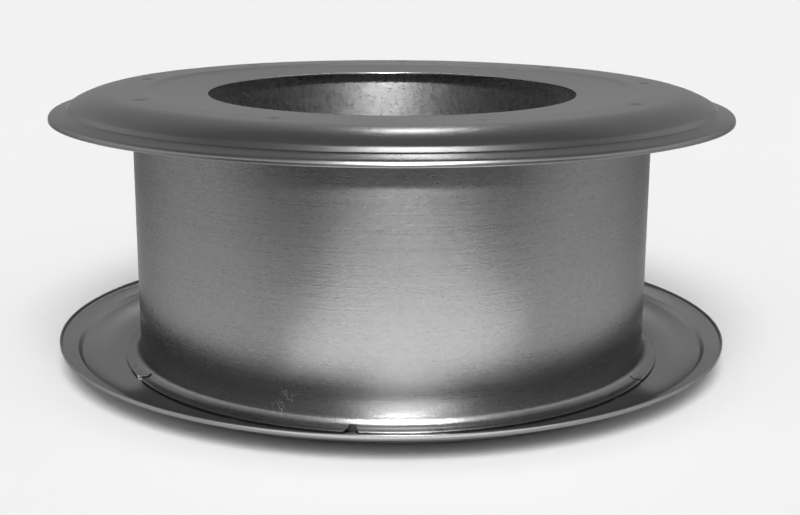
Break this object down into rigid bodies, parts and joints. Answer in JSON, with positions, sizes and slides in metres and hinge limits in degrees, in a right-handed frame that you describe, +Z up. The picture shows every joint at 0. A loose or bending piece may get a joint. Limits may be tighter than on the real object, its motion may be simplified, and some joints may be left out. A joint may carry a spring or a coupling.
{
  "type": "wall thimble",
  "caption": "Round galvanised steel wall thimble: dished flanges on telescoping sleeves that carry a vent pipe through a wall with an air space round it.",
  "frame": {"origin": "on the axis, at the surface the lower flange's seat ring stands on", "axes": "+Z up along the axis of the sleeves and of the pipe, -Y towards the viewer of the picture, +X to the viewer's right"},
  "size_m": [0.2159, 0.2158, 0.0862],
  "materials": {
    "galvanised_steel": "satin"
  },
  "bodies": {
    "outer_half": {"lower_flange": "galvanised_steel", "outer_sleeve": "galvanised_steel"},
    "inner_half": {"upper_flange": "galvanised_steel", "inner_sleeve": "galvanised_steel"}
  },
  "joints": [
    {"name": "wall_depth_slide", "type": "slide", "parent": "outer_half", "child": "inner_half", "axis": [0, 0, 1], "range_m": [0, 0.05]}
  ]
}
